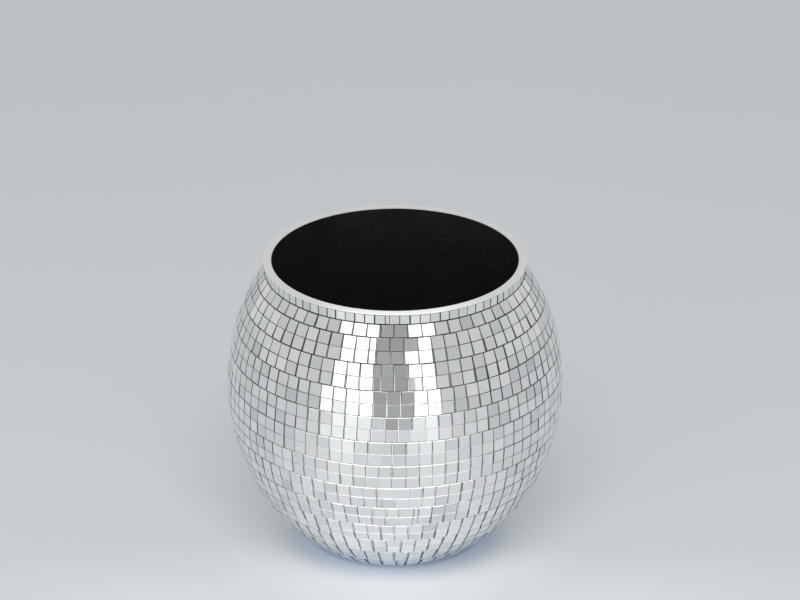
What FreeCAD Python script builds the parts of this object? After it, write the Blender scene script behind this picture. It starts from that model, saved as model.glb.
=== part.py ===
import FreeCAD, Part
import math
import os
import random

# Mirror-mosaic champagne bucket. Millimetres, +Z up, origin at the middle of the base pad's underside.
# The outer line of the pot is three tangent arcs, measured to the faces of the mirror tiles. Everything
# under the tiles is an inward offset of those arcs, so each layer follows the one outside it.

# Outer line of the pot, at the tile faces. Angles are of its normal, in degrees above level.
BELLY_RADIUS = 138.0
BELLY_CURVE = 180.0
BELLY_TOP_ANGLE = 20.0
BELLY_LOW_ANGLE = -25.0
SHOULDER_CURVE = 159.0
SHOULDER_TOP_ANGLE = 36.4
LOWER_CURVE = 152.0

# Mirror tiles: one single row at the shoulder, then strips of two rows down to the foot
TILE_SIZE = 10.0
TILE_THICKNESS = 1.5
ROW_GAP = 0.45
COLUMN_GAP = 0.45
STRIP_COUNT = 12
ROWS_PER_STRIP = 2
SMALLEST_CUT_TILE = 2.5

# Short straight neck with one row of smaller tiles
NECK_TILE_WIDTH = 7.5
NECK_TILE_HEIGHT = 7.6
NECK_GAP = 0.35

# How unevenly the tiles were laid by hand, in degrees and millimetres either way
TILE_TILT = 0.55
TILE_TWIST = 0.35
TILE_SHIFT = 0.10
SEAM_TILT = 1.1
SEAM_REACH = 1.6
SEAM_ANGLE = -88.0
SEAM_SPREAD = 9.0

# Layers under the tiles
TILE_GLUE = 0.12
CLOTH_THICKNESS = 0.25
CLOTH_GLUE = 0.05
CLOTH_EDGE = 0.3
SHELL_WALL = 2.5
FLOOR_WALL = 3.0

# Lap joint between the two half shells, level with the belly
LAP_HEIGHT = 6.0
LAP_GAP = 0.12

# Collar glued into the upper shell
COLLAR_WALL = 1.8
COLLAR_FIT = 0.15
SKIRT_WIDTH = 6.0
SKIRT_THICKNESS = 2.0
SKIRT_GLUE = 0.1

# Lift-out liner, hanging by its flange on the collar
LINER_WALL = 1.2
LINER_FIT = 0.5
LINER_SIDE_GAP = 6.0
LINER_FLOOR_GAP = 12.0
LINER_CORNER = 14.0
FLANGE_THICKNESS = 0.8

# Bright ring that caps the liner's flange
RING_PLATE = 0.8
RING_LIP = 0.8
RING_LIP_GAP = 0.1
RING_FIT = 0.1
RING_INNER_ROUND = 0.5
RIM_OVERHANG = 1.0

# Foot
PAD_THICKNESS = 3.0
PAD_INSET = 4.0
TILE_GROUND_GAP = 1.5

# Depths below the tile faces
CLOTH_OUTER_DEPTH = TILE_THICKNESS + TILE_GLUE
CLOTH_INNER_DEPTH = CLOTH_OUTER_DEPTH + CLOTH_THICKNESS
SHELL_OUTER_DEPTH = CLOTH_INNER_DEPTH + CLOTH_GLUE
SHELL_INNER_DEPTH = SHELL_OUTER_DEPTH + SHELL_WALL
SKIRT_OUTER_DEPTH = SHELL_INNER_DEPTH + SKIRT_GLUE
SKIRT_INNER_DEPTH = SKIRT_OUTER_DEPTH + SKIRT_THICKNESS

ROW_PITCH = TILE_SIZE + ROW_GAP
ROW_COUNT = 1 + STRIP_COUNT * ROWS_PER_STRIP
TOUCHING = 1e-6


class Arc:
    """One arc of the outer line, about a centre in the plane of radius and height."""

    def __init__(self, centre_radius, centre_height, curve, top, low):
        self.centre_radius = centre_radius
        self.centre_height = centre_height
        self.curve = curve
        self.top = math.radians(top)
        self.low = math.radians(low)

    def length(self):
        return self.curve * (self.top - self.low)

    def point(self, angle, depth=0.0):
        reach = self.curve - depth
        return self.centre_radius + reach * math.cos(angle), self.centre_height + reach * math.sin(angle)

    def angle_at_radius(self, radius, depth):
        return math.acos((radius - self.centre_radius) / (self.curve - depth))

    def angle_at_height(self, height, depth):
        return math.asin((height - self.centre_height) / (self.curve - depth))

    def edge(self, start, end, depth):
        points = [flat_point(*self.point(angle, depth)) for angle in (start, 0.5 * (start + end), end)]
        return Part.Arc(*points).toShape()


def tangent_arc(arc, curve, joint, top, low):
    """An arc of another radius that leaves the given one without a corner at the joint angle."""
    step = arc.curve - curve
    radius = arc.centre_radius + step * math.cos(math.radians(joint))
    height = arc.centre_height + step * math.sin(math.radians(joint))
    return Arc(radius, height, curve, top, low)


def outer_line():
    """Shoulder, belly and lower arcs. The lower one ends where the last row of tiles does."""
    belly = Arc(BELLY_RADIUS - BELLY_CURVE, 0.0, BELLY_CURVE, BELLY_TOP_ANGLE, BELLY_LOW_ANGLE)
    shoulder = tangent_arc(belly, SHOULDER_CURVE, BELLY_TOP_ANGLE, SHOULDER_TOP_ANGLE, BELLY_TOP_ANGLE)
    left_over = ROW_COUNT * ROW_PITCH - belly.length() - shoulder.length()
    foot_angle = BELLY_LOW_ANGLE - math.degrees(left_over / LOWER_CURVE)
    lower = tangent_arc(belly, LOWER_CURVE, BELLY_LOW_ANGLE, BELLY_LOW_ANGLE, foot_angle)
    rise = TILE_GROUND_GAP - lower.point(lower.low)[1]
    for arc in (shoulder, belly, lower):
        arc.centre_height += rise
    return shoulder, belly, lower


def flat_point(radius, height):
    return FreeCAD.Vector(radius, 0, height)


def bend(centre, radius, start, end):
    """An arc about a point, from one angle to another in degrees."""
    angles = [math.radians(angle) for angle in (start, 0.5 * (start + end), end)]
    points = [flat_point(centre[0] + radius * math.cos(a), centre[1] + radius * math.sin(a)) for a in angles]
    return Part.Arc(*points).toShape()


SHOULDER, BELLY, LOWER = outer_line()
ARCS = (SHOULDER, BELLY, LOWER)
BELLY_HEIGHT = BELLY.centre_height
NECK_RADIUS, NECK_FOOT = SHOULDER.point(SHOULDER.top)
COLLAR_TOP = NECK_FOOT + NECK_TILE_HEIGHT + 2 * NECK_GAP
COLLAR_OUTER = NECK_RADIUS - SHELL_OUTER_DEPTH
COLLAR_INNER = COLLAR_OUTER - COLLAR_WALL
FLANGE_TOP = COLLAR_TOP + FLANGE_THICKNESS
RIM_RADIUS = NECK_RADIUS + RIM_OVERHANG
LAP_RADIUS = BELLY_RADIUS - SHELL_OUTER_DEPTH - 0.5 * SHELL_WALL
FLOOR_TOP = PAD_THICKNESS + FLOOR_WALL


def place_on_line(distance):
    """The arc and normal angle at a distance along the outer line, counted down from the neck."""
    for arc in ARCS:
        if distance <= arc.length() or arc is ARCS[-1]:
            return arc, arc.top - distance / arc.curve
        distance -= arc.length()


def line_edges(start, end, depth):
    """Edges along the outer line at a depth, between two distances, running from start to end."""
    upper_end = min(start, end)
    lower_end = max(start, end)
    edges = []
    passed = 0.0
    for arc in ARCS:
        upper = max(upper_end, passed) - passed
        lower = min(lower_end, passed + arc.length()) - passed
        passed += arc.length()
        if lower - upper > TOUCHING:
            angles = [arc.top - upper / arc.curve, arc.top - lower / arc.curve]
            edges.append(arc.edge(*(angles if start < end else reversed(angles)), depth))
    return edges if start < end else edges[::-1]


def outline(pieces):
    """A closed wire through edges and corner points in order, with straight lines between them."""
    edges = []
    ends = []
    for piece in pieces:
        is_corner = isinstance(piece, FreeCAD.Vector)
        start = piece if is_corner else piece.valueAt(piece.FirstParameter)
        if ends and (start - ends[-1]).Length > TOUCHING:
            edges.append(Part.LineSegment(ends[-1], start).toShape())
        if not is_corner:
            edges.append(piece)
        ends += [start, piece if is_corner else piece.valueAt(piece.LastParameter)]
    if (ends[0] - ends[-1]).Length > TOUCHING:
        edges.append(Part.LineSegment(ends[-1], ends[0]).toShape())
    return Part.Wire(edges)


def turned(pieces):
    """The solid of revolution about the upright axis of a closed outline."""
    return Part.Face(outline(pieces)).revolve(FreeCAD.Vector(0, 0, 0), FreeCAD.Vector(0, 0, 1), 360)


def base_pad():
    foot = LOWER.angle_at_height(PAD_THICKNESS, SHELL_OUTER_DEPTH)
    return Part.makeCylinder(LOWER.point(foot, SHELL_OUTER_DEPTH)[0] - PAD_INSET, PAD_THICKNESS)


def lower_shell():
    """Flat floor and lower wall, with the inner half of the wall standing up into the lap joint."""
    lap_top = BELLY_HEIGHT + LAP_HEIGHT
    seam = BELLY_HEIGHT - LAP_GAP
    return turned([
        flat_point(0, PAD_THICKNESS),
        LOWER.edge(LOWER.angle_at_height(PAD_THICKNESS, SHELL_OUTER_DEPTH), LOWER.top, SHELL_OUTER_DEPTH),
        BELLY.edge(BELLY.low, BELLY.angle_at_height(seam, SHELL_OUTER_DEPTH), SHELL_OUTER_DEPTH),
        flat_point(LAP_RADIUS, seam),
        flat_point(LAP_RADIUS, lap_top),
        BELLY.edge(BELLY.angle_at_height(lap_top, SHELL_INNER_DEPTH), BELLY.low, SHELL_INNER_DEPTH),
        LOWER.edge(LOWER.top, LOWER.angle_at_height(FLOOR_TOP, SHELL_INNER_DEPTH), SHELL_INNER_DEPTH),
        flat_point(0, FLOOR_TOP),
    ])


def upper_shell():
    """Wall from the belly to the neck opening, with its outer half reaching down over the lap joint."""
    lap_top = BELLY_HEIGHT + LAP_HEIGHT + LAP_GAP
    opening = COLLAR_OUTER + COLLAR_FIT
    mouth = SHOULDER.angle_at_radius(opening, SHELL_OUTER_DEPTH)
    mouth_inside = SHOULDER.angle_at_radius(opening, SHELL_INNER_DEPTH)
    return turned([
        BELLY.edge(BELLY.angle_at_height(BELLY_HEIGHT, SHELL_OUTER_DEPTH), BELLY.top, SHELL_OUTER_DEPTH),
        SHOULDER.edge(SHOULDER.low, mouth, SHELL_OUTER_DEPTH),
        SHOULDER.edge(mouth_inside, SHOULDER.low, SHELL_INNER_DEPTH),
        BELLY.edge(BELLY.top, BELLY.angle_at_height(lap_top, SHELL_INNER_DEPTH), SHELL_INNER_DEPTH),
        flat_point(LAP_RADIUS + LAP_GAP, lap_top),
        flat_point(LAP_RADIUS + LAP_GAP, BELLY_HEIGHT),
    ])


def neck_collar():
    """Upright ring under the rim, with a skirt that lies against the inside of the upper shell."""
    start = SHOULDER.angle_at_radius(COLLAR_OUTER, SKIRT_OUTER_DEPTH)
    end = SHOULDER.angle_at_radius(COLLAR_OUTER + SKIRT_WIDTH, SKIRT_OUTER_DEPTH)
    inside = SHOULDER.angle_at_radius(COLLAR_INNER, SKIRT_INNER_DEPTH)
    return turned([
        flat_point(COLLAR_INNER, COLLAR_TOP),
        flat_point(COLLAR_OUTER, COLLAR_TOP),
        SHOULDER.edge(start, end, SKIRT_OUTER_DEPTH),
        SHOULDER.edge(end, inside, SKIRT_INNER_DEPTH),
    ])


def liner_wall(inset):
    """Lean in degrees, centre of the bottom corner and mouth radius of the liner's wall at an inset."""
    bottom = FLOOR_TOP + LINER_FLOOR_GAP
    shell_angle = LOWER.angle_at_height(bottom, SHELL_INNER_DEPTH)
    foot = LOWER.point(shell_angle, SHELL_INNER_DEPTH)[0] - LINER_SIDE_GAP
    mouth = COLLAR_INNER - LINER_FIT
    lean = math.atan2(mouth - foot, COLLAR_TOP - bottom)
    corner = foot + LINER_CORNER * (math.tan(lean) - 1 / math.cos(lean)), bottom + LINER_CORNER
    return math.degrees(lean), corner, mouth - inset / math.cos(lean)


def ice_liner():
    """Thin tapered liner with a rounded corner at its floor and a flat flange round its mouth."""
    lean, corner, mouth = liner_wall(0.0)
    mouth_inside = liner_wall(LINER_WALL)[2]
    bottom = corner[1] - LINER_CORNER
    flange = RIM_RADIUS - RING_LIP - RING_FIT
    return turned([
        flat_point(0, bottom),
        bend(corner, LINER_CORNER, -90, -lean),
        flat_point(mouth, COLLAR_TOP),
        flat_point(flange, COLLAR_TOP),
        flat_point(flange, FLANGE_TOP),
        flat_point(mouth_inside, FLANGE_TOP),
        bend(corner, LINER_CORNER - LINER_WALL, -lean, -90),
        flat_point(0, bottom + LINER_WALL),
    ])


def rim_ring():
    """Cap over the flange: a plate with rounded edges, and a lip down round the flange's outer edge."""
    inside = liner_wall(LINER_WALL)[2]
    top = FLANGE_TOP + RING_PLATE
    lip = RIM_RADIUS - RING_LIP
    return turned([
        flat_point(inside, FLANGE_TOP),
        bend((inside + RING_INNER_ROUND, top - RING_INNER_ROUND), RING_INNER_ROUND, 180, 90),
        bend((lip, top - RING_LIP), RING_LIP, 90, 0),
        flat_point(RIM_RADIUS, COLLAR_TOP + RING_LIP_GAP),
        flat_point(lip, COLLAR_TOP + RING_LIP_GAP),
        flat_point(lip, FLANGE_TOP),
    ])


def cloth_backing(first_row, rows):
    """The woven band that a strip of tiles is stuck to, over a number of rows."""
    start = first_row * ROW_PITCH + CLOTH_EDGE
    end = (first_row + rows) * ROW_PITCH - CLOTH_EDGE
    return turned(line_edges(start, end, CLOTH_OUTER_DEPTH) + line_edges(end, start, CLOTH_INNER_DEPTH))


def neck_cloth_backing():
    outer = NECK_RADIUS - CLOTH_OUTER_DEPTH
    inner = NECK_RADIUS - CLOTH_INNER_DEPTH
    low = NECK_FOOT + CLOTH_EDGE
    top = COLLAR_TOP - CLOTH_EDGE
    corners = (inner, low), (outer, low), (outer, top), (inner, top)
    return turned([flat_point(*corner) for corner in corners])


def columns(back_radius, tile_width, seam):
    """Azimuth and width of each tile round a row, from the seam, with a cut tile to close the ring."""
    step = 2 * math.atan(0.5 * (tile_width + COLUMN_GAP) / back_radius)
    whole = int(2 * math.pi / step)
    left_over = 2 * math.pi - whole * step
    cut_width = 2 * back_radius * math.tan(0.5 * left_over) - COLUMN_GAP
    if cut_width < SMALLEST_CUT_TILE:
        step = 2 * math.pi / whole
        return [(seam + index * step, tile_width) for index in range(whole)]
    cut_place = seam - 0.5 * (step + left_over)
    return [(cut_place, cut_width)] + [(seam + index * step, tile_width) for index in range(whole)]


def tile(size, place, angle, azimuth, tilt, uneven):
    """One flat square of mirror with its face on the outer line, laid slightly out of true."""
    width, height = size
    corner = FreeCAD.Vector(-0.5 * width, -0.5 * height, -TILE_THICKNESS)
    solid = Part.makeBox(width, height, TILE_THICKNESS, corner)
    level = FreeCAD.Vector(math.cos(azimuth), math.sin(azimuth), 0)
    upright = FreeCAD.Vector(0, 0, 1)
    outward = level * math.cos(angle) + upright * math.sin(angle)
    upward = upright * math.cos(angle) - level * math.sin(angle)
    sideways = upward.cross(outward)
    laid = FreeCAD.Rotation(sideways, upward, outward, "ZXY")
    wobble = FreeCAD.Rotation(
        TILE_TWIST * uneven.uniform(-1, 1), tilt * uneven.uniform(-1, 1), tilt * uneven.uniform(-1, 1)
    )
    slip = sideways * TILE_SHIFT * uneven.uniform(-1, 1) + upward * TILE_SHIFT * uneven.uniform(-1, 1)
    position = level * place[0] + upright * place[1] + slip
    solid.Placement = FreeCAD.Placement(position, laid * wobble)
    return solid


def row_of_tiles(size, place, angle, back_radius, seam, uneven):
    """A ring of tiles. Those beside the seam lie less true than the rest."""
    tiles = []
    for azimuth, width in columns(back_radius, size[0], seam):
        from_seam = abs(math.remainder(azimuth - seam, 2 * math.pi)) * place[0] / size[0]
        tilt = SEAM_TILT if from_seam < SEAM_REACH else TILE_TILT
        tiles.append(tile((width, size[1]), place, angle, azimuth, tilt, uneven))
    return tiles


def seam_azimuth(uneven):
    return math.radians(SEAM_ANGLE + SEAM_SPREAD * uneven.uniform(-1, 1))


def mirror_strip(first_row, rows):
    """Rows of tiles that share their upright joints, spaced to suit the row with the shorter way round."""
    uneven = random.Random(first_row)
    seam = seam_azimuth(uneven)
    places = [place_on_line((first_row + index + 0.5) * ROW_PITCH) for index in range(rows)]
    back_radius = min(
        arc.point(angle)[0] - TILE_THICKNESS * math.cos(angle) - 0.5 * TILE_SIZE * abs(math.sin(angle))
        for arc, angle in places
    )
    tiles = []
    for arc, angle in places:
        tiles += row_of_tiles((TILE_SIZE, TILE_SIZE), arc.point(angle), angle, back_radius, seam, uneven)
    return Part.makeCompound(tiles)


def neck_mirror_row():
    uneven = random.Random(ROW_COUNT)
    size = NECK_TILE_WIDTH, NECK_TILE_HEIGHT
    place = NECK_RADIUS, NECK_FOOT + NECK_GAP + 0.5 * NECK_TILE_HEIGHT
    back_radius = NECK_RADIUS - TILE_THICKNESS
    return Part.makeCompound(row_of_tiles(size, place, 0.0, back_radius, seam_azimuth(uneven), uneven))


def write(name, shape):
    shape.exportStep("parts/" + name + ".step")


os.makedirs("parts", exist_ok=True)
write("base_pad", base_pad())
write("lower_shell", lower_shell())
write("upper_shell", upper_shell())
write("neck_collar", neck_collar())
write("ice_liner", ice_liner())
write("rim_ring", rim_ring())
write("neck_cloth_backing", neck_cloth_backing())
write("neck_mirror_row", neck_mirror_row())
write("shoulder_cloth_backing", cloth_backing(0, 1))
write("shoulder_mirror_row", mirror_strip(0, 1))
for strip in range(STRIP_COUNT):
    first = 1 + strip * ROWS_PER_STRIP
    write("cloth_backing_%02d" % (strip + 1), cloth_backing(first, ROWS_PER_STRIP))
    write("mirror_strip_%02d" % (strip + 1), mirror_strip(first, ROWS_PER_STRIP))
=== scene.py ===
import math
import random

import bpy
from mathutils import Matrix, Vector


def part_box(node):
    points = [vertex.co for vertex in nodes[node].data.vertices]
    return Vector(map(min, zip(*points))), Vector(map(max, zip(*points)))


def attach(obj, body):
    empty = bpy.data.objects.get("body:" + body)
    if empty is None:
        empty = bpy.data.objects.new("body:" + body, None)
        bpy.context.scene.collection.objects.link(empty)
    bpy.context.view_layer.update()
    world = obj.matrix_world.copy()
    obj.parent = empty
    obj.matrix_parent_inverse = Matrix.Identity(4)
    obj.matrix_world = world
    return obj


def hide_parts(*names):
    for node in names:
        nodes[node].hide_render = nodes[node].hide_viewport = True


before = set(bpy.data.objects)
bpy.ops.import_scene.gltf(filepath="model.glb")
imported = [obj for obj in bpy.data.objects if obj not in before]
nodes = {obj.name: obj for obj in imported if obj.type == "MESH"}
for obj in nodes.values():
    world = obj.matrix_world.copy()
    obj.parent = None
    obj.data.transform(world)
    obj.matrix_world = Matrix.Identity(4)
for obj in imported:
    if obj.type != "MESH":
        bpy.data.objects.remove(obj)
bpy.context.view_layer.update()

mm = 0.001
print("frame loaded:", len(nodes), "nodes")


def objectMode():
    if bpy.context.mode != "OBJECT":
        bpy.ops.object.mode_set(mode="OBJECT")


def editMode(selects):
    bpy.ops.object.mode_set(mode="EDIT")
    bpy.ops.mesh.select_mode(type=selects)


def letGo():
    objectMode()
    bpy.ops.object.select_all(action="DESELECT")


def pickOnly(piece):
    letGo()
    piece.select_set(True)
    bpy.context.view_layer.objects.active = piece


def pickFaces(piece, wanted):
    pickOnly(piece)
    editMode("FACE")
    bpy.ops.mesh.select_all(action="DESELECT")
    objectMode()
    for face in piece.data.polygons:
        face.select = wanted(face)
    bpy.ops.object.mode_set(mode="EDIT")


def giveMaterials(piece, *materials):
    piece.data.materials.clear()
    for material in materials:
        piece.data.materials.append(material)


# Shader nodes, added and joined in a line or two each
class Graph:
    def __init__(self, tree):
        self.tree = tree

    def add(self, kind, **settings):
        node = self.tree.nodes.new("ShaderNode" + kind)
        for key, value in settings.items():
            setattr(node, key, value)
        return node

    def link(self, source, socket):
        self.tree.links.new(source, socket)

    def feed(self, socket, value):
        if isinstance(value, tuple):
            socket.default_value = (*value, 1.0)
        elif isinstance(value, (int, float)):
            socket.default_value = value
        else:
            self.link(value, socket)

    def place(self, scale=(1.0, 1.0, 1.0)):
        mapping = self.add("Mapping")
        mapping.inputs["Scale"].default_value = scale
        self.link(self.add("TexCoord").outputs["Object"], mapping.inputs["Vector"])
        return mapping.outputs["Vector"]

    def axes(self, vector):
        split = self.add("SeparateXYZ")
        self.link(vector, split.inputs["Vector"])
        return split.outputs["X"], split.outputs["Y"], split.outputs["Z"]

    def noise(self, vector, scale, detail, roughness):
        node = self.add("TexNoise")
        node.inputs["Scale"].default_value = scale
        node.inputs["Detail"].default_value = detail
        node.inputs["Roughness"].default_value = roughness
        self.link(vector, node.inputs["Vector"])
        return node.outputs["Fac"]

    def math(self, operation, *values, clamp=False):
        node = self.add("Math", operation=operation, use_clamp=clamp)
        for socket, value in zip(node.inputs, values):
            self.feed(socket, value)
        return node.outputs["Value"]

    def range(self, value, low, high, toLow=0.0, toHigh=1.0, smooth=False):
        node = self.add("MapRange")
        if smooth:
            node.interpolation_type = "SMOOTHSTEP"
        self.link(value, node.inputs["Value"])
        ends = {"From Min": low, "From Max": high, "To Min": toLow, "To Max": toHigh}
        for name, number in ends.items():
            node.inputs[name].default_value = number
        return node.outputs["Result"]

    def mix(self, share, first, second):
        node = self.add("Mix", data_type="RGBA")
        for slot, value in ((0, share), (6, first), (7, second)):   # the colour sockets of this node
            self.feed(node.inputs[slot], value)
        return node.outputs[2]

    def bump(self, height, strength, distance, normal=None):
        node = self.add("Bump")
        node.inputs["Strength"].default_value = strength
        node.inputs["Distance"].default_value = distance
        self.link(height, node.inputs["Height"])
        if normal is not None:
            self.link(normal, node.inputs["Normal"])
        return node.outputs["Normal"]


class Surface(Graph):
    sockets = {
        "color": "Base Color", "metal": "Metallic", "rough": "Roughness", "normal": "Normal",
        "coat": "Coat Weight", "coatRough": "Coat Roughness", "sheen": "Sheen Weight",
        "sheenRough": "Sheen Roughness", "level": "Specular IOR Level", "ior": "IOR",
        "anisotropy": "Anisotropic", "glow": "Emission Color", "glowStrength": "Emission Strength",
    }

    def __init__(self, name):
        self.material = bpy.data.materials.new(name)
        self.material.use_nodes = True
        super().__init__(self.material.node_tree)
        self.shader = self.tree.nodes["Principled BSDF"]

    def set(self, **values):
        for key, value in values.items():
            self.feed(self.shader.inputs[self.sockets[key]], value)
        return self.material


# A grain is the scale, detail and roughness of a noise. A spread is the part of it that counts.
glassLook = {
    "palest": (0.965, 0.970, 0.972),
    "greyest": (0.70, 0.715, 0.72),
    "roseTint": (0.93, 0.89, 0.90),
    "roseFrom": 0.62,            # tiles with a hue above this turn rose
    "greenTint": (0.885, 0.93, 0.90),
    "greenFrom": 0.38,           # and below this, green
    "tintMost": 0.75,
    "hazeGrain": (900.0, 3.0, 0.6),
    "hazeSpread": (0.62, 0.80),
    "hazeTone": (0.62, 0.64, 0.65),
    "hazeMost": 0.16,
    "roughness": 0.025,
    "hazeRoughness": 0.06,       # how much rougher the hazy spots are
    "rippleGrain": (130.0, 1.0, 0.4),
    "rippleHeight": 0.005 * mm,
}


def mirrorMaterial():
    m = Surface("mirror_glass_silvered")
    look = glassLook
    tone = m.add("Attribute", attribute_name="tileTone").outputs["Fac"]
    hue = m.add("Attribute", attribute_name="tileHue").outputs["Fac"]
    here = m.place()
    grey = m.mix(tone, look["greyest"], look["palest"])
    rose = m.mix(m.range(hue, look["roseFrom"], 1.0, 0.0, look["tintMost"]), grey, look["roseTint"])
    tinted = m.mix(m.range(hue, look["greenFrom"], 0.0, 0.0, look["tintMost"]), rose, look["greenTint"])
    haze = m.range(m.noise(here, *look["hazeGrain"]), *look["hazeSpread"])
    color = m.mix(m.math("MULTIPLY", haze, look["hazeMost"]), tinted, look["hazeTone"])
    rough = m.range(haze, 0.0, 1.0, look["roughness"], look["roughness"] + look["hazeRoughness"])
    # each tile reflects a slightly different way
    leaning = m.add("VectorMath", operation="ADD")
    m.link(m.add("NewGeometry").outputs["Normal"], leaning.inputs[0])
    m.link(m.add("Attribute", attribute_name="tileLean").outputs["Vector"], leaning.inputs[1])
    unit = m.add("VectorMath", operation="NORMALIZE")
    m.link(leaning.outputs["Vector"], unit.inputs[0])
    ripple = m.noise(here, *look["rippleGrain"])
    normal = m.bump(ripple, 1.0, look["rippleHeight"], unit.outputs["Vector"])
    return m.set(color=color, metal=1.0, rough=rough, normal=normal)


# The edges of a tile, in the order of their materials after the front
edgeLooks = {
    "ground": {
        "name": "mirror_glass_ground_edge", "metal": 1.0, "level": 0.5, "rough": (0.20, 0.32),
        "pale": (0.06, 0.066, 0.064), "dark": (0.022, 0.026, 0.025),
        "grain": (2600.0, 2.0, 0.6), "spread": (0.35, 0.7), "grit": 0.0,
    },
    "side": {
        "name": "mirror_glass_cut_side", "metal": 0.0, "level": 0.6, "rough": (0.25, 0.42),
        "pale": (0.16, 0.175, 0.168), "dark": (0.08, 0.09, 0.086),
        "grain": (1800.0, 2.0, 0.55), "spread": (0.35, 0.68), "grit": 0.3,
    },
    # upward-facing cut sides, painted paler than the other cut sides: a painted highlight of light from
    # above
    "top": {
        "name": "mirror_glass_top_edge_painted_highlight", "metal": 0.0, "level": 0.4, "rough": (0.40, 0.55),
        "pale": (0.26, 0.27, 0.265), "dark": (0.18, 0.19, 0.185),
        "grain": (2600.0, 2.0, 0.6), "spread": (0.35, 0.7), "grit": 0.0,
    },
    "snapped": {
        "name": "mirror_glass_snapped_edge", "metal": 1.0, "level": 0.5, "rough": (0.15, 0.28),
        "pale": (0.72, 0.74, 0.735), "dark": (0.56, 0.58, 0.575),
        "grain": (2600.0, 2.0, 0.6), "spread": (0.35, 0.7), "grit": 0.0,
    },
}
edgeGritHeight = 0.05 * mm
middleOfNoise = (0.3, 0.7)       # most of a noise lies between these


def edgeMaterial(look):
    m = Surface(look["name"])
    grain = m.noise(m.place(), *look["grain"])
    color = m.mix(m.range(grain, *look["spread"]), look["pale"], look["dark"])
    if look["grit"]:
        m.set(normal=m.bump(grain, look["grit"], edgeGritHeight))
    rough = m.range(grain, *middleOfNoise, *look["rough"])
    return m.set(color=color, metal=look["metal"], level=look["level"], rough=rough)


tileShape = {
    "brokenArris": 0.30 * mm,    # edges along the joints between strips
    "snappedArris": 0.10 * mm,   # edges between the two rows of a strip, and most upright ones
    "chippedLeast": 0.26 * mm,   # upright edges that broke less cleanly
    "chippedMost": 0.50 * mm,
    "chippedShare": 0.36,
    "arrisSteps": 2,
    "lean": 0.016,               # how unevenly the tiles are set, as a share of their normal
    "toneBias": 0.6,             # below 1, most tiles are pale
    "seed": 41,
}

# Cosines, and one width, that tell the faces and edges of a tile apart
tileLimits = {
    "facesOut": 0.5,
    "alongRow": 0.7,
    "front": 0.999,
    "side": 0.05,
    "top": 0.25,
    "snapped": 0.14 * mm,
}
heart = Vector((0.0, 0.0, 0.13))   # inside the belly: tiles face away from it, and lights toward it
faceKinds = ["front", *edgeLooks]


def copyOfNode(nodeName, pieceName):
    mesh = nodes[nodeName].data.copy()   # its own mesh, so the frame's stays as it is
    piece = bpy.data.objects.new(pieceName, mesh)
    bpy.context.scene.collection.objects.link(piece)
    pickOnly(piece)
    if mesh.has_custom_normals:
        bpy.ops.mesh.customdata_custom_splitnormals_clear()
    editMode("VERT")
    bpy.ops.mesh.select_all(action="SELECT")
    bpy.ops.mesh.remove_doubles(threshold=0.01 * mm)
    bpy.ops.mesh.dissolve_limited(angle_limit=math.radians(0.5))
    objectMode()
    return piece


def numberTiles(mesh):
    # faces joined by edges belong to one tile, which is known by its first vertex
    parent = list(range(len(mesh.vertices)))

    def first(vertex):
        while parent[vertex] != vertex:
            parent[vertex] = parent[parent[vertex]]
            vertex = parent[vertex]
        return vertex

    for edge in mesh.edges:
        ends = [first(vertex) for vertex in edge.vertices]
        parent[max(ends)] = min(ends)
    return [first(face.vertices[0]) for face in mesh.polygons]


def frontOfEachTile(mesh, tiles):
    fronts = {}
    for face, tile in zip(mesh.polygons, tiles):
        facesOut = face.normal.dot((face.center - heart).normalized()) > tileLimits["facesOut"]
        if facesOut and (tile not in fronts or face.area > fronts[tile].area):
            fronts[tile] = face
    return fronts


def arrisWidth(front, start, end, middle, inStrip, dice):
    level = Vector((-front.normal.y, front.normal.x, 0.0)).normalized()
    if abs((end - start).normalized().dot(level)) > tileLimits["alongRow"]:
        isOver = 0.5 * (start.z + end.z) > front.center.z
        isUpperRow = front.center.z > middle
        isOuter = not inStrip or isOver == isUpperRow
        return tileShape["brokenArris"] if isOuter else tileShape["snappedArris"]
    if dice.random() < tileShape["chippedShare"]:
        return dice.uniform(tileShape["chippedLeast"], tileShape["chippedMost"])
    return tileShape["snappedArris"]


def breakEdges(piece, inStrip, dice):
    mesh = piece.data
    fronts = frontOfEachTile(mesh, numberTiles(mesh)).values()
    middle = sum(front.center.z for front in fronts) / len(fronts)   # between the two rows
    weights = mesh.attributes.new("bevel_weight_edge", "FLOAT", "EDGE")
    edgeOf = {tuple(sorted(edge.vertices)): edge.index for edge in mesh.edges}
    for front in fronts:
        for pair in front.edge_keys:
            start, end = (mesh.vertices[index].co for index in pair)
            width = arrisWidth(front, start, end, middle, inStrip, dice)
            weights.data[edgeOf[tuple(sorted(pair))]].value = width / tileShape["chippedMost"]
    bevel = piece.modifiers.new("arris", "BEVEL")
    bevel.limit_method = "WEIGHT"
    bevel.width = tileShape["chippedMost"]
    bevel.segments = tileShape["arrisSteps"]
    pickOnly(piece)
    bpy.ops.object.modifier_apply(modifier="arris")


def kindOfFace(mesh, face, front):
    cosine = face.normal.dot(front.normal)
    if cosine > tileLimits["front"]:
        return "front"
    # cut sides turned upward take the top edge's painted highlight
    if face.normal.z - cosine * front.normal.z > tileLimits["top"]:
        return "top"
    if cosine <= tileLimits["side"]:
        return "side"
    longest = max((mesh.vertices[a].co - mesh.vertices[b].co).length for a, b in face.edge_keys)
    return "snapped" if face.area / longest < tileLimits["snapped"] else "ground"


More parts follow.
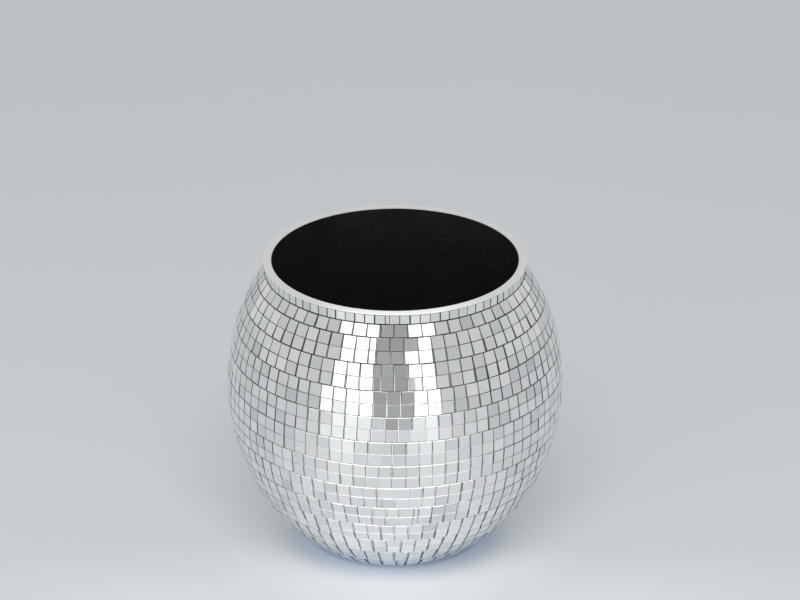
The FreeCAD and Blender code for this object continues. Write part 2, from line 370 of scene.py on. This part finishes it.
def varyTiles(mesh, tiles, dice):
    tones, hues = {}, {}
    for tile in sorted(set(tiles)):
        tones[tile] = dice.random() ** tileShape["toneBias"]
        hues[tile] = dice.random()
    for name, values in (("tileTone", tones), ("tileHue", hues)):
        layer = mesh.attributes.new(name, "FLOAT", "FACE")
        layer.data.foreach_set("value", [values[tile] for tile in tiles])
    leans = {}
    for tile in sorted(set(tiles)):
        leans[tile] = [dice.gauss(0.0, tileShape["lean"]) for axis in range(3)]
    layer = mesh.attributes.new("tileLean", "FLOAT_VECTOR", "FACE")
    layer.data.foreach_set("vector", [value for tile in tiles for value in leans[tile]])


def mirrorPiece(nodeName, materials, dice):
    piece = copyOfNode(nodeName, nodeName + "_glass")
    mesh = piece.data
    breakEdges(piece, "strip" in nodeName, dice)
    giveMaterials(piece, *materials)
    tiles = numberTiles(mesh)
    fronts = frontOfEachTile(mesh, tiles)
    for face, tile in zip(mesh.polygons, tiles):
        face.material_index = faceKinds.index(kindOfFace(mesh, face, fronts[tile]))
    varyTiles(mesh, tiles, dice)
    if not mesh.uv_layers:
        mesh.uv_layers.new(name="tileMap")
    pickFaces(piece, lambda face: face.material_index == faceKinds.index("front"))
    bpy.ops.uv.reset()           # the whole map on each tile's front
    pickOnly(piece)
    bpy.ops.object.shade_flat()
    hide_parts(nodeName)
    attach(piece, "bucket")


dice = random.Random(tileShape["seed"])
glassMaterials = [mirrorMaterial()] + [edgeMaterial(look) for look in edgeLooks.values()]
mirrorNodes = sorted(name for name in nodes if "mirror" in name)
for nodeName in mirrorNodes:
    mirrorPiece(nodeName, glassMaterials, dice)
print("mirror tiles laid:", len(mirrorNodes), "strips and rows")


tapeLook = {
    "threads": 1500.0,           # in a metre, each way
    "radius": 0.13,              # metres, where the threads are that far apart
    "dark": (0.08, 0.08, 0.083),
    "light": (0.17, 0.17, 0.173),
    "height": 0.12 * mm,
}


def tapeMaterial():
    m = Surface("woven_tape_dark_grey")
    x, y, z = m.axes(m.place())
    turn = 2 * math.pi * tapeLook["threads"]
    around = m.math("MULTIPLY", m.math("ARCTAN2", x, y), tapeLook["radius"])
    warp = m.math("SINE", m.math("MULTIPLY", around, turn))
    weft = m.math("SINE", m.math("MULTIPLY", z, turn))
    weave = m.range(m.math("MULTIPLY", warp, weft), -1.0, 1.0)
    color = m.mix(weave, tapeLook["dark"], tapeLook["light"])
    return m.set(color=color, rough=0.85, sheen=0.25, sheenRough=0.5,
                 normal=m.bump(weave, 0.6, tapeLook["height"]))


mouldedLook = {
    "dark": (0.020, 0.020, 0.022),
    "light": (0.034, 0.034, 0.036),
    "cloudGrain": (18.0, 2.0, 0.5),
    "fineGrain": (900.0, 4.0, 0.65),
    "rough": (0.46, 0.62),
    "height": 0.08 * mm,
}


def mouldedMaterial():
    m = Surface("moulded_black")
    look = mouldedLook
    here = m.place()
    grain = m.noise(here, *look["fineGrain"])
    cloud = m.range(m.noise(here, *look["cloudGrain"]), *middleOfNoise)
    rough = m.range(grain, *middleOfNoise, *look["rough"])
    return m.set(color=m.mix(cloud, look["dark"], look["light"]), rough=rough,
                 normal=m.bump(grain, 0.25, look["height"]))


tape = tapeMaterial()
mouldedBlack = mouldedMaterial()
for nodeName, node in nodes.items():
    if "cloth" in nodeName:
        giveMaterials(node, tape)
for nodeName in ("lower_shell", "upper_shell", "neck_collar"):
    giveMaterials(nodes[nodeName], mouldedBlack)
print("backing and shells finished")


# A turned piece starts with a small hole at each pole, which closePoles then closes
poleShape = {"radius": 0.6 * mm, "reach": 0.8 * mm, "slack": 0.3 * mm}


def turnedPiece(name, profile, around, closed=False):
    letGo()
    radius, height = profile[0]
    bpy.ops.mesh.primitive_circle_add(
        vertices=around, radius=radius, fill_type="NOTHING", location=(0, 0, height))
    piece = bpy.context.object
    piece.name = name
    piece.data.name = name
    bpy.ops.object.transform_apply(location=True, rotation=False, scale=False)
    editMode("EDGE")
    bpy.ops.mesh.select_all(action="SELECT")
    for newRadius, newHeight in profile[1:] + (profile[:1] if closed else []):
        bpy.ops.mesh.extrude_edges_move(TRANSFORM_OT_translate={"value": (0, 0, newHeight - height)})
        share = newRadius / radius
        bpy.ops.transform.resize(value=(share, share, 1), center_override=(0, 0, newHeight))
        radius, height = newRadius, newHeight
    bpy.ops.mesh.select_all(action="SELECT")
    bpy.ops.mesh.remove_doubles(threshold=0.002 * mm)
    bpy.ops.mesh.normals_make_consistent(inside=False)
    objectMode()
    return piece


def closePoles(piece, heights):
    pickOnly(piece)
    for height in heights:
        editMode("VERT")
        bpy.ops.mesh.select_all(action="DESELECT")
        objectMode()
        for vertex in piece.data.vertices:
            isNear = math.hypot(vertex.co.x, vertex.co.y) < poleShape["reach"]
            vertex.select = isNear and abs(vertex.co.z - height) < poleShape["slack"]
        bpy.ops.object.mode_set(mode="EDIT")
        bpy.ops.mesh.merge(type="CENTER")
        objectMode()
    bpy.ops.object.mode_set(mode="EDIT")
    bpy.ops.mesh.select_all(action="SELECT")
    bpy.ops.mesh.normals_make_consistent(inside=False)
    objectMode()


def bend(centre, radius, start, end, steps):
    points = []
    for step in range(steps + 1):
        angle = math.radians(start + (end - start) * step / steps)
        points.append((centre[0] + radius * math.cos(angle), centre[1] + radius * math.sin(angle)))
    return points


def between(start, end, steps):
    return [
        (start[0] + (end[0] - start[0]) * step / steps, start[1] + (end[1] - start[1]) * step / steps)
        for step in range(1, steps)
    ]


def smoothBelow(piece, degrees):
    pickOnly(piece)
    bpy.ops.object.shade_smooth_by_angle(angle=math.radians(degrees))


def innerRadius(nodeName):
    return min(math.hypot(vertex.co.x, vertex.co.y) for vertex in nodes[nodeName].data.vertices)


linerLook = {
    "deep": (0.0075, 0.0078, 0.0085),
    "worn": (0.020, 0.0205, 0.022),
    "cloudGrain": (26.0, 4.0, 0.6),
    "cloudShare": 0.6,
    "scuffGrain": (1.0, 3.0, 0.6),
    "scuffStretch": (60.0, 60.0, 900.0),   # long marks that run round the wall
    "scuffSpread": (0.58, 0.72),
    "scuffShare": 0.4,
    "scuffRoughness": 0.12,
    "rough": (0.20, 0.30),
    "peelGrain": (420.0, 2.0, 0.5),
    "peelHeight": 0.06 * mm,
}

linerShape = {
    "wall": 1.2 * mm,
    "corner": 14.0 * mm,
    "cornerSteps": 10,
    "lean": 5.0,                 # degrees that the wall opens out by
    "wallSteps": 6,
    "flange": 0.8 * mm,
    "flangeBreak": 0.15 * mm,
    "around": 160,
    "smoothBelow": 40,
}


def linerMaterial():
    m = Surface("liner_black_enamel")
    look = linerLook
    here = m.place()
    cloud = m.noise(here, *look["cloudGrain"])
    peel = m.noise(here, *look["peelGrain"])
    marks = m.noise(m.place(look["scuffStretch"]), *look["scuffGrain"])
    scuff = m.range(marks, *look["scuffSpread"])
    wear = m.math("ADD", m.math("MULTIPLY", cloud, look["cloudShare"]),
                  m.math("MULTIPLY", scuff, look["scuffShare"]), clamp=True)
    rough = m.math("ADD", m.range(cloud, *middleOfNoise, *look["rough"]),
                   m.math("MULTIPLY", scuff, look["scuffRoughness"]))
    return m.set(color=m.mix(wear, look["deep"], look["worn"]), rough=rough, coat=0.35, coatRough=0.12,
                 normal=m.bump(peel, 0.10, look["peelHeight"]))


def buildLiner():
    low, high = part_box("ice_liner")
    shape = linerShape
    wall, corner, lean = shape["wall"], shape["corner"], math.radians(shape["lean"])
    flange, top, bottom = high.x, high.z, low.z
    underFlange = top - shape["flange"]
    mouthInside = innerRadius("rim_ring")
    mouth = mouthInside + wall / math.cos(lean)
    # the corner's middle lies so that the wall's straight line meets the mouth
    centreHeight = bottom + corner
    rise = underFlange - centreHeight
    centreRadius = mouth - rise * math.tan(lean) - corner / math.cos(lean)
    centre = centreRadius, centreHeight
    outside = bend(centre, corner, -90, -shape["lean"], shape["cornerSteps"])
    inside = bend(centre, corner - wall, -shape["lean"], -90, shape["cornerSteps"])
    cut = shape["flangeBreak"]
    profile = [(poleShape["radius"], bottom), (0.5 * centreRadius, bottom)] + outside
    profile += between(outside[-1], (mouth, underFlange), shape["wallSteps"])
    profile += [
        (mouth, underFlange),
        (flange - cut, underFlange),
        (flange, underFlange + cut),
        (flange, top - cut),
        (flange - cut, top),
        (mouthInside, top),
    ]
    profile += between((mouthInside, top), inside[0], shape["wallSteps"])
    profile += inside + [(0.5 * centreRadius, bottom + wall), (poleShape["radius"], bottom + wall)]
    piece = turnedPiece("ice_liner_enamelled", profile, shape["around"])
    closePoles(piece, (bottom, bottom + wall))
    smoothBelow(piece, shape["smoothBelow"])
    giveMaterials(piece, linerMaterial())
    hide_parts("ice_liner")
    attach(piece, "liner")


rimLook = {
    "dull": (0.86, 0.86, 0.835),
    "bright": (0.95, 0.95, 0.93),
    "metal": 0.75,
    "turningGrain": (3800.0, 3.0, 0.7),    # fine rings left by the spinning
    "turningSpread": (0.35, 0.65),
    "turningHeight": 0.03 * mm,
    "rough": (0.30, 0.40),
    "smearGrain": (60.0, 3.0, 0.6),
    "smearSpread": (0.4, 0.7),
    "smearRoughness": 0.06,
}

rimShape = {
    "plate": 0.8 * mm,
    "lip": 0.8 * mm,
    "crown": 0.25 * mm,          # how far the middle of the face stands above its edges
    "crownPoints": (0.25, 0.5, 0.75),
    "innerRound": 0.4 * mm,
    "outerRound": 0.8 * mm,
    "outerSink": 0.75 * mm,      # the outer round's middle is this far under the edge
    "lipBreak": 0.1 * mm,
    "around": 240,
    "smoothBelow": 45,
}


def rimMaterial():
    m = Surface("rim_satin_aluminium")
    look = rimLook
    x, y, z = m.axes(m.place())
    radius = m.math("SQRT", m.math("ADD", m.math("MULTIPLY", x, x), m.math("MULTIPLY", y, y)))
    turned = m.add("CombineXYZ")
    m.link(radius, turned.inputs["X"])
    m.link(z, turned.inputs["Y"])
    turning = m.noise(turned.outputs["Vector"], *look["turningGrain"])
    smear = m.noise(m.place(), *look["smearGrain"])
    color = m.mix(m.range(turning, *look["turningSpread"]), look["dull"], look["bright"])
    rough = m.math("ADD", m.range(turning, *middleOfNoise, *look["rough"]),
                   m.range(smear, *look["smearSpread"], 0.0, look["smearRoughness"]))
    return m.set(color=color, metal=look["metal"], rough=rough, anisotropy=0.3,
                 normal=m.bump(turning, 0.12, look["turningHeight"]))


def buildRim():
    low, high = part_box("rim_ring")
    shape = rimShape
    inner, outer, under = innerRadius("rim_ring"), high.x, low.z
    flangeTop = high.z - shape["plate"]
    lip = outer - shape["lip"]
    edge = high.z - shape["crown"]
    crownStart = inner + shape["innerRound"]
    profile = [(inner, flangeTop)]
    profile += bend((crownStart, edge - shape["innerRound"]), shape["innerRound"], 180, 100, 4)
    for share in shape["crownPoints"]:
        rise = 1 - (2 * share - 1) ** 2
        profile.append((crownStart + (lip - crownStart) * share, edge + shape["crown"] * rise))
    profile += bend((lip, edge - shape["outerSink"]), shape["outerRound"], 80, 0, 5)
    profile += [
        (outer, under + shape["lipBreak"]),
        (outer - shape["lipBreak"], under),
        (lip, under),
        (lip, flangeTop),
    ]
    piece = turnedPiece("rim_ring_satin", profile, shape["around"], closed=True)
    smoothBelow(piece, shape["smoothBelow"])
    giveMaterials(piece, rimMaterial())
    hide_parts("rim_ring")
    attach(piece, "liner")


padLook = {
    "dark": (0.011, 0.011, 0.012),
    "light": (0.032, 0.032, 0.034),
    "cells": 1600.0,             # in a metre
    "cellSpread": (0.1, 0.6),
    "cellDepth": 0.2 * mm,
}

padShape = {"round": 0.5 * mm, "around": 120, "smoothBelow": 50}


def padMaterial():
    m = Surface("pad_black_foam")
    cells = m.add("TexVoronoi")
    cells.inputs["Scale"].default_value = padLook["cells"]
    m.link(m.place(), cells.inputs["Vector"])
    cell = cells.outputs["Distance"]
    color = m.mix(m.range(cell, *padLook["cellSpread"]), padLook["dark"], padLook["light"])
    return m.set(color=color, rough=0.92, normal=m.bump(cell, 0.6, padLook["cellDepth"]))


def buildPad():
    low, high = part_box("base_pad")
    radius, top, bottom, edge = high.x, high.z, low.z, padShape["round"]
    profile = [(poleShape["radius"], bottom), (0.5 * radius, bottom)]
    profile += bend((radius - edge, bottom + edge), edge, -90, 0, 3)
    profile += bend((radius - edge, top - edge), edge, 0, 90, 3)
    profile += [(0.5 * radius, top), (poleShape["radius"], top)]
    piece = turnedPiece("base_pad_foam", profile, padShape["around"])
    closePoles(piece, (bottom, top))
    smoothBelow(piece, padShape["smoothBelow"])
    giveMaterials(piece, padMaterial())
    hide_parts("base_pad")
    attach(piece, "bucket")


buildLiner()
buildRim()
buildPad()
print("liner, rim ring and base pad turned")


# Distances on the floor are in metres, from the middle of the bucket
floorLook = {
    "size": 6.0,
    "drop": 0.3 * mm,            # the floor lies this far under the pad, so the two never flicker
    "color": (0.47, 0.485, 0.50),
    "paleTone": 0.50,
    "cloudGrain": (1.3, 2.0, 0.5),
    "rough": 0.34,
    "ior": 2.0,
    "paintedLightSide": (0.165, 0.180, 0.185),     # painted light: glow the floor gives off beside and behind the bucket, though it is no lamp
    # painted pool of light on the floor in front of the bucket
    "paintedLightFront": (0.26, 0.275, 0.29),
    "frontStart": (0.03, 0.15),
    "frontEnd": (0.16, 0.45),
    "paintedLightNear": (0.325, 0.345, 0.365),     # painted light, paler again just before the foot
    "nearStart": (0.02, 0.12),
    "nearEnd": (0.105, 0.175),
    "paintedContactShadow": (0.025, 0.085, 0.19),     # painted blue contact shadow where the bucket meets the floor
    "touchEnd": (0.062, 0.106),
    "padEdge": 2 * mm,
}


def floorMaterial():
    m = Surface("floor_pale_painted_glow")
    look = floorLook
    here = m.place()
    cloud = m.range(m.noise(here, *look["cloudGrain"]), *middleOfNoise)
    paler = tuple(0.5 * (share + look["paleTone"]) for share in look["color"])
    x, y, z = m.axes(here)
    front = m.math("MULTIPLY", y, -1.0)
    away = m.add("VectorMath", operation="LENGTH")
    m.link(here, away.inputs[0])
    radius = away.outputs["Value"]
    # painted light: the floor glows as if lit, brightest in front and just before the foot
    before = m.math("MULTIPLY", m.range(front, *look["frontStart"], smooth=True),
                    m.range(radius, *look["frontEnd"], 1.0, 0.0, smooth=True))
    near = m.math("MULTIPLY", m.range(front, *look["nearStart"], smooth=True),
                  m.range(radius, *look["nearEnd"], 1.0, 0.0, smooth=True))
    # painted blue contact shadow where the bucket touches, and no painted glow under the pad
    touch = m.range(radius, *look["touchEnd"], 1.0, 0.0, smooth=True)
    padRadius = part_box("base_pad")[1].x
    under = m.range(radius, padRadius - look["padEdge"], padRadius, 1.0, 0.0)
    glow = m.mix(before, look["paintedLightSide"], look["paintedLightFront"])
    glow = m.mix(near, glow, look["paintedLightNear"])
    glow = m.mix(touch, glow, look["paintedContactShadow"])
    glow = m.mix(under, glow, (0.0, 0.0, 0.0))
    m.set(color=m.mix(cloud, look["color"], paler), rough=look["rough"], ior=look["ior"],
          glow=glow, glowStrength=1.0)
    # seen from below, the floor lets the underside show
    both = m.add("MixShader")
    m.link(m.add("NewGeometry").outputs["Backfacing"], both.inputs[0])
    m.link(m.shader.outputs["BSDF"], both.inputs[1])
    m.link(m.add("BsdfTransparent").outputs["BSDF"], both.inputs[2])
    m.link(both.outputs["Shader"], m.tree.nodes["Material Output"].inputs["Surface"])
    return m.material


def buildFloor():
    letGo()
    bpy.ops.mesh.primitive_plane_add(size=floorLook["size"], location=(0, 0, -floorLook["drop"]))
    floor = bpy.context.object
    floor.name = "studio_floor"
    giveMaterials(floor, floorMaterial())


wallLook = {
    "low": (0.64, 0.65, 0.655),
    "high": (0.58, 0.585, 0.595),
    "top": 0.72,                 # height of the bright walls, as the sine of the elevation
    "fade": 0.12,
    "ceiling": (0.30, 0.30, 0.305),
    "gapTone": (0.40, 0.405, 0.41),
    "gapBearing": -1.5,          # the darker wall between the two windows, in degrees
    "gapHalf": 14.5,
    "gapSoft": 3,
}


def buildWorld():
    look = wallLook
    world = bpy.data.worlds.new("studio_walls")
    bpy.context.scene.world = world
    world.use_nodes = True
    g = Graph(world.node_tree)
    x, y, z = g.axes(g.add("TexCoord").outputs["Generated"])
    ramp = g.add("ValToRGB")
    g.link(z, ramp.inputs["Fac"])
    stops = ramp.color_ramp.elements
    stops[0].position = 0.0
    stops[0].color = (*look["low"], 1.0)
    stops[1].position = look["top"]
    stops[1].color = (*look["high"], 1.0)
    stops.new(look["top"] + look["fade"]).color = (*look["ceiling"], 1.0)
    bearing = g.math("ARCTAN2", x, g.math("MULTIPLY", y, -1.0))
    aside = g.math("ABSOLUTE", g.math("SUBTRACT", bearing, math.radians(look["gapBearing"])))
    inner, outer = (math.radians(look["gapHalf"] + soft) for soft in (-look["gapSoft"], look["gapSoft"]))
    gap = g.range(aside, inner, outer, 1.0, 0.0, smooth=True)
    walls = g.mix(gap, ramp.outputs["Color"], look["gapTone"])
    g.link(walls, g.tree.nodes["Background"].inputs["Color"])


# Bearings are in degrees from the front, and sizes and places in metres
softLights = {
    "window_left": {
        "bearing": -31.0, "distance": 1.7, "height": 0.95, "wide": 0.95, "tall": 1.9,
        "watts": 5.8, "color": (1.0, 0.99, 0.97), "tilted": False,
    },
    "window_right": {
        "bearing": 21.0, "distance": 1.7, "height": 0.95, "wide": 0.50, "tall": 1.9,
        "watts": 3.05, "color": (0.98, 0.99, 1.0), "tilted": False,
    },
    "key": {
        "bearing": 0.0, "distance": 0.86, "height": 1.45, "wide": 0.9, "tall": 0.5,
        "watts": 11.0, "color": (1.0, 1.0, 1.0), "tilted": True,
    },
}

spots = {
    "belly_spot": {
        "place": (-0.02, -1.55, 0.62), "aim": (-0.004, 0.0, 0.076), "cone": 6.8, "watts": 740.0,
    },
    "shoulder_spot": {
        "place": (0.03, -1.0, 1.5), "aim": (0.005, -0.09, 0.205), "cone": 5.4, "watts": 150.0,
    },
}
spotBlend = 0.7
spotSize = 0.03


def hang(name, light, place, toward):
    lamp = bpy.data.objects.new(name, light)
    bpy.context.scene.collection.objects.link(lamp)
    lamp.location = place
    lamp.rotation_euler = toward.to_track_quat("-Z", "Y").to_euler()
    return lamp


def buildLights():
    for name, look in softLights.items():
        light = bpy.data.lights.new(name, "AREA")
        light.shape = "RECTANGLE"
        light.size, light.size_y = look["wide"], look["tall"]
        light.energy = look["watts"]
        light.color = look["color"]
        bearing, distance = math.radians(look["bearing"]), look["distance"]
        place = Vector((math.sin(bearing) * distance, -math.cos(bearing) * distance, look["height"]))
        toward = heart - place
        if not look["tilted"]:
            toward.z = 0.0
        lamp = hang(name, light, place, toward)
        lamp.visible_camera = False
        lamp.visible_glossy = not look["tilted"]   # the mirrors show the windows only
    for name, look in spots.items():
        light = bpy.data.lights.new(name, "SPOT")
        light.energy = look["watts"]
        light.spot_size = math.radians(look["cone"])
        light.spot_blend = spotBlend
        light.shadow_soft_size = spotSize
        place = Vector(look["place"])
        hang(name, light, place, Vector(look["aim"]) - place).visible_glossy = False


cameraView = {
    "lens": 135.3,
    "sensor": 36.0,
    "elevation": 26.8,
    "distance": 2.484,
    "bellyHeight": 0.1348,       # the distance and elevation are from the middle of the belly
    "aim": (0.0041, 0.030, 0.1937),
    "clip": (0.05, 60.0),
}


def buildCamera():
    view = cameraView
    data = bpy.data.cameras.new("camera")
    camera = bpy.data.objects.new("camera", data)
    bpy.context.scene.collection.objects.link(camera)
    data.sensor_width = view["sensor"]
    data.lens = view["lens"]
    data.clip_start, data.clip_end = view["clip"]
    elevation = math.radians(view["elevation"])
    back = Vector((0, -math.cos(elevation), math.sin(elevation))) * view["distance"]
    camera.location = Vector((0.0, 0.0, view["bellyHeight"])) + back
    camera.rotation_euler = (Vector(view["aim"]) - camera.location).to_track_quat("-Z", "Y").to_euler()
    bpy.context.scene.camera = camera


buildFloor()
buildWorld()
buildLights()
buildCamera()
bpy.context.scene.view_settings.view_transform = "Standard"
print("studio set")
